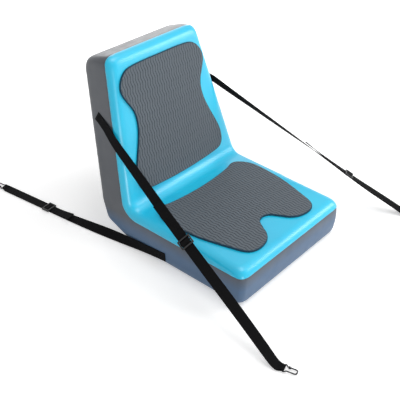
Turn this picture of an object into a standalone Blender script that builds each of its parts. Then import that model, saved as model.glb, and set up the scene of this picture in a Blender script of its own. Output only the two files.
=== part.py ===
"""Inflatable seat for a paddleboard.

An L-shaped drop-stitch air chamber wears a deck skin on its front face, a foam pad on the seat and another on
the back, and an inflation valve behind the back. Four webbing straps run out from its side walls, each
through a slider and round the eye of a snap hook.

Metres, +Z up. -Y is the front, +X the right-hand side of someone who looks at the seat. The origin is on the
ground, midway between the front wall and the crease where the seat meets the back.
"""

import math

import bmesh
import bpy
from mathutils import Matrix, Vector

# Air chamber
FRONT_WIDTH = 0.402
CREASE_WIDTH = 0.416
BACK_TOP_WIDTH = 0.306
SEAT_LENGTH = 0.353
BACK_LENGTH = 0.376
CHAMBER_THICK = 0.099
RECLINE_DEG = 16.4
SHOULDER_RADIUS = 0.020
REAR_SHOULDER_RADIUS = 0.012
FRONT_CORNER_RADIUS = 0.024
TOP_CORNER_RADIUS = 0.024
CREASE_SETBACK = 0.024
HEEL_LENGTH = 0.098
HEEL_HEIGHT = 0.040
HEEL_SOFTENING = 0.018

# Skin and pads
CLEARANCE = 0.0003
SKIN_THICK = 0.0012
SKIN_WRAP = 0.0175
PAD_THICK = 0.005
PAD_EDGE = 0.0010

# Webbing
WEB_WIDTH = 0.0250
WEB_THICK = 0.0014
WEB_END_WIDTH = 0.0166
WEB_NARROWS_OVER = 0.014
WEB_EDGE = 0.0006
TAIL_LIFT = 0.004

# Sliders
SLIDER_RAIL = 0.0032
SLIDER_BAR = 0.0030
SLIDER_SLOT = 0.0070
SLIDER_HUMP = 0.0044
SLIDER_HOLDS = 0.013
SLIDER_SIDE_PLAY = 0.0009
SLIDER_CORNER = 0.0020

# Snap hooks
WIRE = 0.0030
HOOK_EYE_WIDTH = 0.0206
HOOK_LOOP_WIDTH = 0.0122
HOOK_NECK = 0.0080
HOOK_REACH = 0.0300
HOOK_BEND = 0.0040
FORK_AT = 0.0095
FORK_LENGTH = 0.0050
FORK_WIDTH = 0.0042
FORK_HEIGHT = 0.0042
TONGUE_THICK = 0.0013
TONGUE_EYE_RADIUS = 0.0016
HINGE_FROM_FORK_END = 0.0016
GATE_END = 0.0225
GATE_OPENS_DEG = 25
PIN_DIAMETER = 0.0014
PIN_HEAD_DIAMETER = 0.0026
PIN_HEAD_THICK = 0.0005

# Inflation valve
VALVE_UP_THE_BACK = 0.110
VALVE_SLEEVE_RADIUS = 0.0200
VALVE_WALL = 0.0020
VALVE_DEPTH = 0.0180
VALVE_FLANGE_RADIUS = 0.0285
VALVE_FLANGE_THICK = 0.0024
VALVE_FLOOR_AT = 0.0110
VALVE_RECESS_SPARE = 0.0040
POPPET_RADIUS = 0.0100
POPPET_THICK = 0.0018
POPPET_TRAVEL = 0.0030
STEM_RADIUS = 0.0016
BUTTON_RADIUS = 0.0068
BUTTON_WALL = 0.0012
BUTTON_HEIGHT = 0.0065
SPRING_WIRE = 0.0008
SPRING_RADIUS = 0.0042
SPRING_TURNS = 4
WINDOW_COUNT = 6
WINDOW_RADIUS = 0.0013
SEAL_THICK = 0.0014
SEAL_WIDTH = 0.0030
CAP_THICK = 0.0030
CAP_RADIUS = 0.0245
CAP_PLUG_DEPTH = 0.0045
GRIP_HEIGHT = 0.0070
GRIP_WIDTH = 0.0060

# Half outlines of the pads, from the middle of one end to the middle of the other
SEAT_PAD_HALF = [
    (0.000, 0.118), (0.053, 0.120), (0.107, 0.126), (0.135, 0.133), (0.154, 0.127), (0.170, 0.106),
    (0.177, 0.078), (0.175, 0.030), (0.168, -0.020), (0.157, -0.062), (0.147, -0.095), (0.135, -0.129),
    (0.118, -0.145), (0.093, -0.149), (0.064, -0.142), (0.045, -0.126), (0.033, -0.106), (0.019, -0.086),
    (0.000, -0.079),
]
BACK_PAD_HALF = [
    (0.000, 0.343), (0.055, 0.343), (0.098, 0.341), (0.120, 0.335), (0.137, 0.320), (0.146, 0.300),
    (0.144, 0.281), (0.133, 0.259), (0.122, 0.238), (0.118, 0.215), (0.121, 0.188), (0.130, 0.160),
    (0.143, 0.128), (0.154, 0.100), (0.159, 0.075), (0.156, 0.052), (0.143, 0.038), (0.115, 0.033),
    (0.060, 0.0295), (0.000, 0.028),
]

# Straps: where each leaves the side wall (y, z), then its free run by hand: x, y, z and how far its face has
# turned from the wall's to the ground's, 0 to 1
FRONT_ANCHOR = (0.3113, 0.3094)
REAR_ANCHOR = (0.0560, 0.0228)
FRONT_LEFT_RUN = [
    (-0.1805, 0.2844, 0.2962, 0.00), (-0.1830, 0.2718, 0.2900, 0.02), (-0.1862, 0.2600, 0.2842, 0.06),
    (-0.1948, 0.2235, 0.2661, 0.14), (-0.2059, 0.1580, 0.2356, 0.24), (-0.2177, 0.0915, 0.2048, 0.33),
    (-0.2290, 0.0250, 0.1740, 0.42), (-0.2398, -0.0415, 0.1436, 0.50), (-0.2501, -0.1080, 0.1131, 0.60),
    (-0.2599, -0.1745, 0.0826, 0.71), (-0.2700, -0.2395, 0.0527, 0.83), (-0.2784, -0.2900, 0.0293, 0.92),
    (-0.2827, -0.3160, 0.0166, 0.98), (-0.2844, -0.3310, 0.0082, 1.00), (-0.2844, -0.3420, 0.0031, 1.00),
    (-0.2828, -0.3500, 0.0010, 1.00), (-0.2807, -0.3572, 0.0010, 1.00),
]
FRONT_RIGHT_RUN = [
    (0.1792, 0.2900, 0.3047, 0.00), (0.1825, 0.2822, 0.3029, 0.00), (0.1888, 0.2755, 0.3012, 0.00),
    (0.1985, 0.2610, 0.2957, 0.02), (0.2120, 0.2235, 0.2749, 0.06), (0.2303, 0.1720, 0.2466, 0.13),
    (0.2540, 0.1054, 0.2100, 0.24), (0.2795, 0.0340, 0.1706, 0.38), (0.2980, -0.0181, 0.1419, 0.54),
    (0.3170, -0.0714, 0.1127, 0.70), (0.3381, -0.1306, 0.0800, 0.86), (0.3560, -0.1780, 0.0545, 0.96),
    (0.3720, -0.2185, 0.0332, 1.00), (0.3830, -0.2480, 0.0180, 1.00), (0.3892, -0.2680, 0.0084, 1.00),
    (0.3922, -0.2820, 0.0031, 1.00), (0.3930, -0.2930, 0.0010, 1.00), (0.3925, -0.3050, 0.0010, 1.00),
]
REAR_LEFT_RUN = [
    (-0.2095, 0.1150, 0.0178, 0.03), (-0.2132, 0.1550, 0.0156, 0.14), (-0.2182, 0.2000, 0.0130, 0.32),
    (-0.2244, 0.2500, 0.0099, 0.52), (-0.2308, 0.3000, 0.0066, 0.72), (-0.2372, 0.3500, 0.0036, 0.88),
    (-0.2437, 0.4000, 0.0013, 0.99), (-0.2501, 0.4500, 0.0010, 1.00), (-0.2565, 0.5000, 0.0010, 1.00),
    (-0.2631, 0.5500, 0.0010, 1.00), (-0.2698, 0.6000, 0.0010, 1.00), (-0.2726, 0.6200, 0.0010, 1.00),
]
REAR_RIGHT_RUN = [(-x, y, z, turn) for x, y, z, turn in REAR_LEFT_RUN]

# Each strap: anchor, free run, distance along it to the slider, and from there back to its tail's free end
STRAPS = {
    "front_left": (FRONT_ANCHOR, FRONT_LEFT_RUN, 0.395, 0.118),
    "front_right": (FRONT_ANCHOR, FRONT_RIGHT_RUN, 0.515, 0.150),
    "rear_left": (REAR_ANCHOR, REAR_LEFT_RUN, 0.398, 0.085),
    "rear_right": (REAR_ANCHOR, REAR_RIGHT_RUN, 0.398, 0.085),
}
WELD_STEP = 0.008
ROUTE_STEP = 0.004

RECLINE = math.radians(RECLINE_DEG)
UP_THE_BACK = Vector((0, math.sin(RECLINE), math.cos(RECLINE)))
REARWARD = Vector((0, math.cos(RECLINE), -math.sin(RECLINE)))
CREASE = Vector((0, SEAT_LENGTH / 2, CHAMBER_THICK))
TAPER_START = CREASE + UP_THE_BACK * CREASE_SETBACK
FRONT_Y = -SEAT_LENGTH / 2
REAR_WALL = CREASE + REARWARD * CHAMBER_THICK
LAYER = WEB_THICK + CLEARANCE
HUMP_FLAT = SLIDER_BAR / 2 + CLEARANCE
HUMP_REACH = SLIDER_BAR / 2 + SLIDER_SLOT - CLEARANCE
FOLD_RADIUS = WIRE / 2 + CLEARANCE + WEB_THICK / 2


def clear_scene():
    for old in list(bpy.data.objects):
        bpy.data.objects.remove(old, do_unlink=True)


def make_collection(name):
    made = bpy.data.collections.new(name)
    bpy.context.scene.collection.children.link(made)
    return made


def make_material(name, colour, roughness, metallic=0.0):
    made = bpy.data.materials.new(name)
    made.use_nodes = True
    shader = made.node_tree.nodes["Principled BSDF"]
    shader.inputs["Base Color"].default_value = (*colour, 1)
    shader.inputs["Roughness"].default_value = roughness
    shader.inputs["Metallic"].default_value = metallic
    made.diffuse_color = (*colour, 1)
    return made


def add_object(name, data, material, matrix=None):
    made = bpy.data.objects.new(name, data)
    data.materials.append(material)
    PARTS.objects.link(made)
    if matrix is not None:
        made.matrix_world = matrix
    return made


def mesh_from(bm, name):
    bmesh.ops.recalc_face_normals(bm, faces=bm.faces[:])
    mesh = bpy.data.meshes.new(name)
    bm.to_mesh(mesh)
    bm.free()
    mesh.shade_smooth()
    mesh.set_sharp_from_angle(angle=math.radians(35))
    return mesh


def boolean(target, cutter, operation):
    """Leave a Boolean modifier on the target and hide its cutter among the guides."""
    if cutter.name in PARTS.objects:
        PARTS.objects.unlink(cutter)
        CUTTERS.objects.link(cutter)
    cutter.hide_render = True
    cutter.display_type = "WIRE"
    made = target.modifiers.new(cutter.name, "BOOLEAN")
    made.operation = operation
    made.object = cutter
    made.solver = "EXACT"


def add_box(name, low, high, material, matrix=None):
    bm = bmesh.new()
    bmesh.ops.create_cube(bm, size=1)
    size = Vector(high) - Vector(low)
    bmesh.ops.scale(bm, vec=size, verts=bm.verts)
    bmesh.ops.translate(bm, vec=(Vector(high) + Vector(low)) / 2, verts=bm.verts)
    return add_object(name, mesh_from(bm, name), material, matrix)


def cylinder_bmesh(radius, bottom, top, sides=24, centre=(0, 0)):
    bm = bmesh.new()
    place = Matrix.Translation((centre[0], centre[1], (bottom + top) / 2))
    bmesh.ops.create_cone(bm, cap_ends=True, segments=sides, radius1=radius, radius2=radius,
                          depth=top - bottom, matrix=place)
    return bm


def turned(name, profile, material, matrix, steps=32):
    """A turned solid round the local Z axis: the profile runs down its outer side and back up inside."""
    mesh = bpy.data.meshes.new(name)
    count = len(profile)
    closed = profile[0][0] > 0 and profile[-1][0] > 0
    edges = [(i, (i + 1) % count) for i in range(count if closed else count - 1)]
    mesh.from_pydata([(r, 0, h) for r, h in profile], edges, [])
    made = add_object(name, mesh, material, matrix)
    screw = made.modifiers.new("turn", "SCREW")
    screw.axis = "Z"
    screw.steps = steps
    screw.render_steps = steps
    screw.use_merge_vertices = True
    screw.merge_threshold = 0.00001
    screw.use_smooth_shade = True
    return made


def as_mesh_object(made, material, weld=0.00002):
    """Swap a curve object for the same shape as a mesh, its caps welded on."""
    graph = bpy.context.evaluated_depsgraph_get()
    mesh = bpy.data.meshes.new_from_object(made.evaluated_get(graph))
    bm = bmesh.new()
    bm.from_mesh(mesh)
    bmesh.ops.remove_doubles(bm, verts=bm.verts, dist=weld)
    name, place = made.name, made.matrix_world.copy()
    bpy.data.objects.remove(made)
    bpy.data.meshes.remove(mesh)
    return add_object(name, mesh_from(bm, name), material, place)


# Air chamber and deck skin


def side_profile():
    """Corners of the L seen from the side, in order round it."""
    top_front = CREASE + UP_THE_BACK * BACK_LENGTH
    down = (HEEL_HEIGHT - REAR_WALL.z) / UP_THE_BACK.z
    heel_rear = REAR_WALL + UP_THE_BACK * down
    return [
        Vector((0, FRONT_Y, 0)),
        Vector((0, FRONT_Y, CHAMBER_THICK)),
        CREASE,
        top_front,
        top_front + REARWARD * CHAMBER_THICK,
        heel_rear,
        Vector((0, heel_rear.y - HEEL_LENGTH, 0)),
    ]


def half_width(point):
    """Half the chamber's width there: it widens to the crease and narrows up the back."""
    up = max(0, (point - TAPER_START).dot(UP_THE_BACK))
    back = point - UP_THE_BACK * up
    along = (back.y - FRONT_Y) / SEAT_LENGTH
    widening = (CREASE_WIDTH - FRONT_WIDTH) * along
    narrowing = (CREASE_WIDTH - BACK_TOP_WIDTH) * up / (BACK_LENGTH - CREASE_SETBACK)
    return (FRONT_WIDTH + widening - narrowing) / 2


def depth_below_face(point):
    """How far a point lies behind the seat's top or the back's face."""
    return max(CHAMBER_THICK - point.z, (point - CREASE).dot(REARWARD))


def edges_between(bm, test):
    return [e for e in bm.edges if all(test(v.co) for v in e.verts)]


def near(a, b):
    return abs(a - b) < 1e-5


def on_one_side(edge):
    return abs(edge.verts[0].co.x - edge.verts[1].co.x) < 0.01


def sharp_edges(bm, wanted):
    """Edges that turn by more than 30 degrees at a wanted depth below the face."""
    found = edges_between(bm, lambda p: wanted(depth_below_face(p)))
    return [e for e in found if e.calc_face_angle(0) > math.radians(30)]


def bevel(bm, edges, offset, segments):
    bmesh.ops.bevel(bm, geom=edges, offset=offset, offset_type="OFFSET", segments=segments, profile=0.5,
                    affect="EDGES", clamp_overlap=False)


def chamber_bmesh():
    """The L as a prism, tapered, with its corners and then all of its shoulders rounded."""
    bm = bmesh.new()
    side = bm.faces.new([bm.verts.new((-0.5, p.y, p.z)) for p in side_profile()])
    grown = bmesh.ops.extrude_face_region(bm, geom=[side])["geom"]
    bmesh.ops.translate(bm, vec=(1, 0, 0), verts=[v for v in grown if isinstance(v, bmesh.types.BMVert)])
    in_crease = edges_between(bm, lambda p: near(p.y, CREASE.y) and near(p.z, CREASE.z))
    bevel(bm, in_crease, CREASE_SETBACK, 4)
    everything = bm.verts[:] + bm.edges[:] + bm.faces[:]
    bmesh.ops.bisect_plane(bm, geom=everything, dist=0.0005, plane_co=TAPER_START, plane_no=UP_THE_BACK)
    for v in bm.verts:
        v.co.x *= 2 * half_width(v.co)
    bmesh.ops.recalc_face_normals(bm, faces=bm.faces[:])

    top = CREASE + UP_THE_BACK * BACK_LENGTH
    start = side_profile()[-1]
    fronts = edges_between(bm, lambda p: near(p.y, FRONT_Y))
    bevel(bm, [e for e in fronts if on_one_side(e)], FRONT_CORNER_RADIUS, 5)
    tops = edges_between(bm, lambda p: near((p - top).dot(UP_THE_BACK), 0))
    bevel(bm, [e for e in tops if on_one_side(e)], TOP_CORNER_RADIUS, 4)
    heel = edges_between(bm, lambda p: near(p.y, start.y) and near(p.z, 0))
    bevel(bm, heel, HEEL_SOFTENING, 2)
    bevel(bm, sharp_edges(bm, lambda depth: depth < 0.001), SHOULDER_RADIUS, 4)
    bevel(bm, sharp_edges(bm, lambda depth: depth > SHOULDER_RADIUS + 0.001), REAR_SHOULDER_RADIUS, 3)
    mirror_left_half(bm)
    return bm


def mirror_left_half(bm):
    """Both sides come from the left one, so that their facets match."""
    everything = bm.verts[:] + bm.edges[:] + bm.faces[:]
    bmesh.ops.bisect_plane(bm, geom=everything, plane_co=(0, 0, 0), plane_no=(1, 0, 0), clear_outer=True)
    half = bm.verts[:] + bm.edges[:] + bm.faces[:]
    bmesh.ops.mirror(bm, geom=half, axis="X", merge_dist=0.00001)
    bmesh.ops.recalc_face_normals(bm, faces=bm.faces[:])


def valve_matrix():
    """Local Z points out of the rear wall, on the middle of the back."""
    centre = REAR_WALL + UP_THE_BACK * VALVE_UP_THE_BACK
    axes = Matrix((Vector((1, 0, 0)), -UP_THE_BACK, REARWARD)).transposed().to_4x4()
    return Matrix.Translation(centre) @ axes


def air_chamber():
    made = add_object("air_chamber", mesh_from(chamber_bmesh(), "air_chamber"), GREY_PVC)
    depth = VALVE_DEPTH + VALVE_RECESS_SPARE
    hole = cylinder_bmesh(VALVE_SLEEVE_RADIUS + CLEARANCE, -depth, 0.01, 32)
    cutter = add_object("valve_recess", mesh_from(hole, "valve_recess"), GREY_PVC, valve_matrix())
    boolean(made, cutter, "DIFFERENCE")


def deck_skin():
    """A sheet that follows the chamber's face and wraps over its shoulders."""
    bm = chamber_bmesh()
    for inward in (Vector((0, 0, -1)), REARWARD):
        everything = bm.verts[:] + bm.edges[:] + bm.faces[:]
        bmesh.ops.bisect_plane(bm, geom=everything, plane_co=CREASE + inward * SKIN_WRAP, plane_no=inward,
                               clear_outer=True)
    bm.normal_update()
    for v in bm.verts:
        v.co += v.normal * CLEARANCE
    made = add_object("deck_skin", mesh_from(bm, "deck_skin"), BLUE_PVC)
    solidify = made.modifiers.new("sheet", "SOLIDIFY")
    solidify.thickness = SKIN_THICK
    solidify.offset = 1
    solidify.use_even_offset = True


# Foam pads


def pad(name, half, matrix):
    """A flat sheet of foam inside a smooth closed outline that is the same on both sides."""
    mirrored = [(-x, y) for x, y in reversed(half[1:-1])]
    curve = bpy.data.curves.new(name, "CURVE")
    curve.dimensions = "2D"
    curve.fill_mode = "BOTH"
    curve.extrude = PAD_THICK / 2 - PAD_EDGE
    curve.bevel_depth = PAD_EDGE
    curve.bevel_resolution = 1
    curve.offset = -PAD_EDGE
    curve.resolution_u = 3
    spline = curve.splines.new("BEZIER")
    points = half + mirrored
    spline.bezier_points.add(len(points) - 1)
    for knot, (x, y) in zip(spline.bezier_points, points):
        knot.co = (x, y, 0)
        knot.handle_left_type = "AUTO"
        knot.handle_right_type = "AUTO"
    spline.use_cyclic_u = True
    lift = CLEARANCE + SKIN_THICK + CLEARANCE + PAD_THICK / 2
    add_object(name, curve, GREY_FOAM, matrix @ Matrix.Translation((0, 0, lift)))


def pads():
    pad("seat_pad", SEAT_PAD_HALF, Matrix.Translation((0, 0, CHAMBER_THICK)))
    axes = Matrix((Vector((1, 0, 0)), UP_THE_BACK, -REARWARD)).transposed().to_4x4()
    pad("back_pad", BACK_PAD_HALF, Matrix.Translation(CREASE) @ axes)


# Straps


def catmull_rom(a, b, c, d, t):
    return 0.5 * (2 * b + (c - a) * t + (2 * a - 5 * b + 4 * c - d) * t * t + (3 * b - a - 3 * c + d) * t ** 3)


def on_wall(side, y, z):
    """Where a strap lies flat on the side wall, and the wall's outward direction there."""
    def wall(point):
        return Vector((side * half_width(point), point.y, point.z))
    here, step = Vector((0, y, z)), 0.001
    sideways = wall(here + Vector((0, step, 0))) - wall(here)
    upward = wall(here + Vector((0, 0, step))) - wall(here)
    normal = sideways.cross(upward).normalized()
    if normal.x * side < 0:
        normal = -normal
    return wall(here) + normal * (CLEARANCE + WEB_THICK / 2), normal


class Route:
    """A smooth line from the weld on the wall through a strap's points, measured along its length."""

    def __init__(self, anchor, run, slider_at):
        self.slider_at = slider_at
        self.side = math.copysign(1, run[0][0])
        towards = (Vector(run[0][1:3]) - Vector(anchor)).normalized()
        welds = [Vector(anchor) + towards * WELD_STEP * k for k in range(3)]
        self.wall_normal = on_wall(self.side, *anchor)[1]
        knots = [Vector((*on_wall(self.side, *weld)[0], 0)) for weld in welds]
        knots += [Vector(p) for p in run]
        knots = [2 * knots[0] - knots[1]] + knots + [2 * knots[-1] - knots[-2]]
        self.places = []
        for i in range(1, len(knots) - 2):
            steps = max(2, round((knots[i + 1] - knots[i]).to_3d().length / ROUTE_STEP))
            self.places += [catmull_rom(*knots[i - 1:i + 3], k / steps) for k in range(steps)]
        self.places.append(knots[-2])
        self.marks = [0.0]
        for a, b in zip(self.places, self.places[1:]):
            self.marks.append(self.marks[-1] + (b - a).to_3d().length)
        self.length = self.marks[-1]

    def at(self, distance):
        """The place at that distance, with how far its face leans."""
        distance = min(max(distance, 0), self.length)
        i = 0
        while i < len(self.marks) - 2 and self.marks[i + 1] < distance:
            i += 1
        share = (distance - self.marks[i]) / (self.marks[i + 1] - self.marks[i])
        return self.places[i].lerp(self.places[i + 1], share)

    def axes(self, distance):
        """Along the strap, across it, and out of its face; the slider keeps the strap from twisting in it."""
        reach = 2 * ROUTE_STEP
        if abs(distance - self.slider_at) < SLIDER_HOLDS:
            distance = self.slider_at
        along = (self.at(distance + reach) - self.at(distance - reach)).to_3d().normalized()
        face = self.wall_normal.slerp(Vector((0, 0, 1)), min(1, max(0, self.at(distance).w)))
        face = (face - along * face.dot(along)).normalized()
        return along, face.cross(along), face

    def matrix(self, distance):
        place = Matrix(self.axes(distance)).transposed().to_4x4()
        return Matrix.Translation(self.at(distance).to_3d()) @ place


def hump(offset):
    """How far the webbing rises over the slider's middle bar, that far from it."""
    share = (abs(offset) - HUMP_FLAT) / (HUMP_REACH - HUMP_FLAT)
    return SLIDER_HUMP * (1 + math.cos(math.pi * min(1, max(0, share)))) / 2


def web_width(to_end):
    """The webbing is gathered in where it goes round the hook's eye."""
    share = min(1, max(0, to_end / WEB_NARROWS_OVER))
    return WEB_END_WIDTH + (WEB_WIDTH - WEB_END_WIDTH) * share * share * (3 - 2 * share)


def lower_layer(route, slider_at):
    """Stations (distance, height) of the run from the wall to the hook's eye."""
    stations, d = [], 0.0
    eye = route.length
    while d < eye - 0.001:
        stations.append(d)
        to_slider = slider_at - d if d < slider_at else 1
        to_detail = min(to_slider - HUMP_REACH, eye - d - WEB_NARROWS_OVER)
        fine = abs(d - slider_at) < HUMP_REACH + 0.001 or eye - d < WEB_NARROWS_OVER
        d += 0.0015 if fine else min(0.016, max(0.0015, to_detail))
    return [(d, hump(d - slider_at)) for d in stations]


def eye_rise(to_end):
    """How far the upper layer climbs to clear the hook's eye."""
    share = min(1, max(0, 1 - (to_end - 0.002) / 0.012))
    return (2 * FOLD_RADIUS - LAYER) * share * share * (3 - 2 * share)


def webbing_line(route, slider_at, tail):
    """Stations of the whole strap: out to the eye, round it, and back through the slider to its free end."""
    lower = lower_layer(route, slider_at)
    line = [(d, h, web_width(route.length - d)) for d, h in lower]
    turn = 6
    for k in range(turn + 1):
        angle = math.pi * k / turn
        reach = route.length + FOLD_RADIUS * math.sin(angle)
        line.append((reach, FOLD_RADIUS * (1 - math.cos(angle)), WEB_END_WIDTH))
    end = slider_at - tail
    for i in range(len(lower) - 1, 0, -1):
        d, h = lower[i]
        if d < end:
            break
        before, after = lower[i - 1], lower[min(i + 1, len(lower) - 1)]
        slope = Vector((after[0] - before[0], after[1] - before[1])).normalized()
        lifted = (Vector((d, h)) + Vector((-slope.y, slope.x)) * LAYER)
        free = min(1, max(0, (slider_at - 0.012 - d) / (tail - 0.012)))
        height = lifted.y + eye_rise(route.length - d) + TAIL_LIFT * free * free
        line.append((lifted.x, height, web_width(route.length - d)))
    return line


def webbing(name, route, slider_at, tail):
    """A loft of one thin section along the strap's stations."""
    line = webbing_line(route, slider_at, tail)
    bm = bmesh.new()
    rings = []
    for i, (d, h, width) in enumerate(line):
        a, b = line[max(i - 1, 0)], line[min(i + 1, len(line) - 1)]
        run, rise = Vector((b[0] - a[0], b[1] - a[1])).normalized()
        along, across, face = route.axes(min(d, route.length))
        place = route.at(d).to_3d() + along * max(0, d - route.length) + face * h
        normal = face * run - along * rise
        half, thick = width / 2, WEB_THICK / 2
        section = [(-half, 0), (-half + WEB_EDGE, -thick), (half - WEB_EDGE, -thick),
                   (half, 0), (half - WEB_EDGE, thick), (-half + WEB_EDGE, thick)]
        rings.append([bm.verts.new(place + across * w + normal * t) for w, t in section])
    sides = len(rings[0])
    for a, b in zip(rings, rings[1:]):
        for k in range(sides):
            bm.faces.new((a[k], a[(k + 1) % sides], b[(k + 1) % sides], b[k]))
    bm.faces.new(rings[0])
    bm.faces.new(rings[-1])
    add_object("webbing_" + name, mesh_from(bm, name), BLACK_WEBBING)


def slider(name, matrix):
    """A flat ladder of three bars: the outer two lie over both layers and the middle one under them."""
    middle = SLIDER_BAR / 2
    outer = middle + SLIDER_SLOT
    length = outer + SLIDER_RAIL
    side = WEB_WIDTH / 2 + SLIDER_SIDE_PLAY
    roof = WEB_THICK / 2 + LAYER + CLEARANCE
    top = roof + SLIDER_BAR
    bar_top = SLIDER_HUMP - WEB_THICK / 2 - CLEARANCE
    low = bar_top - SLIDER_BAR
    body = add_box("slider_" + name, (-length, -side - SLIDER_RAIL, low), (length, side + SLIDER_RAIL, top),
                   BLACK_PLASTIC, matrix)
    rounding = body.modifiers.new("corners", "BEVEL")
    rounding.width = SLIDER_CORNER / 2
    rounding.segments = 2
    cuts = {
        "window_a": ((-outer, -side, low - 0.002), (-middle, side, top + 0.002)),
        "window_b": ((middle, -side, low - 0.002), (outer, side, top + 0.002)),
        "under_a": ((-length - 0.002, -side, low - 0.002), (-outer + 0.001, side, roof)),
        "under_b": ((outer - 0.001, -side, low - 0.002), (length + 0.002, side, roof)),
        "over_bar": ((-middle - 0.001, -side, bar_top), (middle + 0.001, side, top + 0.002)),
    }
    for cut, (start, end) in cuts.items():
        cutter = add_box(cut + "_" + name, start, end, BLACK_PLASTIC, matrix)
        boolean(body, cutter, "DIFFERENCE")


# Snap hooks


def arc(centre, radius, start_deg, end_deg, steps):
    angles = [math.radians(start_deg + (end_deg - start_deg) * k / steps) for k in range(steps + 1)]
    return [(centre[0] + radius * math.cos(a), centre[1] + radius * math.sin(a)) for a in angles]


def hook_path():
    """The bent wire from the gate's fork round the eye and back up to the nose: (reach, across)."""
    loop, eye = HOOK_LOOP_WIDTH / 2, HOOK_EYE_WIDTH / 2
    r = HOOK_BEND
    small = 0.0025
    path = [(FORK_AT + 0.001, loop), (HOOK_NECK, loop), (small + 0.001, eye)]
    path += arc((small, eye - small), small, 90, 180, 3)
    path += arc((small, small - eye), small, 180, 270, 3)
    path += [(small + 0.001, -eye), (HOOK_NECK, -loop)]
    path += arc((HOOK_REACH - r, r - loop), r, -90, 0, 4)
    path += arc((HOOK_REACH - r, loop - r), r, 0, 90, 4)
    path += [(GATE_END + CLEARANCE, loop)]
    return path


def wire_curve(name, path, diameter, material, matrix):
    curve = bpy.data.curves.new(name, "CURVE")
    curve.dimensions = "3D"
    curve.bevel_depth = diameter / 2
    curve.bevel_resolution = 2
    curve.use_fill_caps = True
    spline = curve.splines.new("POLY")
    spline.points.add(len(path) - 1)
    for knot, (x, y) in zip(spline.points, path):
        knot.co = (x, y, 0, 1)
    return add_object(name, curve, material, matrix)


def pin_hole(name, matrix, centre):
    radius = PIN_DIAMETER / 2 + CLEARANCE
    bm = cylinder_bmesh(radius, -FORK_HEIGHT, FORK_HEIGHT, 12, centre)
    return add_object(name, mesh_from(bm, name), BLACK_METAL, matrix)


def snap_hook(name, matrix):
    """Bent wire with a fork at one end, which holds the gate's tongue on a pin."""
    loop = HOOK_LOOP_WIDTH / 2
    hinge = (FORK_AT + FORK_LENGTH - HINGE_FROM_FORK_END, loop)
    wire = wire_curve("hook_" + name, hook_path(), WIRE, BLACK_METAL, matrix)
    body = as_mesh_object(wire, BLACK_METAL)
    fork = add_box("fork_" + name, (FORK_AT, loop - FORK_WIDTH / 2, -FORK_HEIGHT / 2),
                   (FORK_AT + FORK_LENGTH, loop + FORK_WIDTH / 2, FORK_HEIGHT / 2), BLACK_METAL, matrix)
    boolean(body, fork, "UNION")
    slot = TONGUE_THICK / 2 + CLEARANCE
    slot_start = hinge[0] - TONGUE_EYE_RADIUS - CLEARANCE
    slot_cut = add_box("fork_slot_" + name, (slot_start, loop - FORK_WIDTH, -slot),
                       (FORK_AT + FORK_LENGTH + 0.002, loop + FORK_WIDTH, slot), BLACK_METAL, matrix)
    boolean(body, slot_cut, "DIFFERENCE")
    boolean(body, pin_hole("fork_hole_" + name, matrix, hinge), "DIFFERENCE")
    gate(name, matrix, hinge)
    hinge_pin(name, matrix, hinge)


def gate(name, matrix, hinge):
    """The sprung bar that closes the hook: a flat tongue in the fork, then a round bar up to the nose."""
    at_hinge = matrix @ Matrix.Translation((hinge[0], hinge[1], 0))
    swing = math.radians(GATE_OPENS_DEG)
    bar_start = (HINGE_FROM_FORK_END + CLEARANCE + WIRE / 2 * math.sin(swing)) / math.cos(swing)
    path = [(bar_start, 0), (GATE_END - hinge[0], 0)]
    bar = wire_curve("gate_" + name, path, WIRE - 0.0002, BLACK_METAL, at_hinge)
    body = as_mesh_object(bar, BLACK_METAL)
    radius = TONGUE_EYE_RADIUS
    half = TONGUE_THICK / 2
    neck = 0.9 * min(radius, WIRE / 2)
    tongue = add_box("tongue_" + name, (0, -neck, -half), (bar_start + 0.002, neck, half), BLACK_METAL,
                     at_hinge)
    boolean(body, tongue, "UNION")
    eye = cylinder_bmesh(radius, -half, half, 16)
    rounded = add_object("tongue_end_" + name, mesh_from(eye, "tongue_end"), BLACK_METAL, at_hinge)
    boolean(body, rounded, "UNION")
    boolean(body, pin_hole("gate_hole_" + name, at_hinge, (0, 0)), "DIFFERENCE")


def hinge_pin(name, matrix, hinge):
    shank, head = PIN_DIAMETER / 2, PIN_HEAD_DIAMETER / 2
    seat = FORK_HEIGHT / 2 + CLEARANCE
    end = seat + PIN_HEAD_THICK
    profile = [(0, end), (head, end), (head, seat), (shank, seat), (shank, -seat), (head, -seat), (head, -end),
               (0, -end)]
    turned("gate_pin_" + name, profile, BRIGHT_METAL, matrix @ Matrix.Translation((*hinge, 0)), 12)


def hook_matrix(route):
    """The eye sits inside the webbing's fold, with the hook lying on along the strap."""
    along, across, face = route.axes(route.length)
    centre = route.places[-1].to_3d() + face * FOLD_RADIUS
    return Matrix.Translation(centre) @ Matrix((along, across, face)).transposed().to_4x4()


def straps():
    for name, (anchor, run, slider_at, tail) in STRAPS.items():
        route = Route(anchor, run, slider_at)
        webbing(name, route, slider_at, tail)
        slider(name, route.matrix(slider_at))
        snap_hook(name, hook_matrix(route))


# Inflation valve


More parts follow.
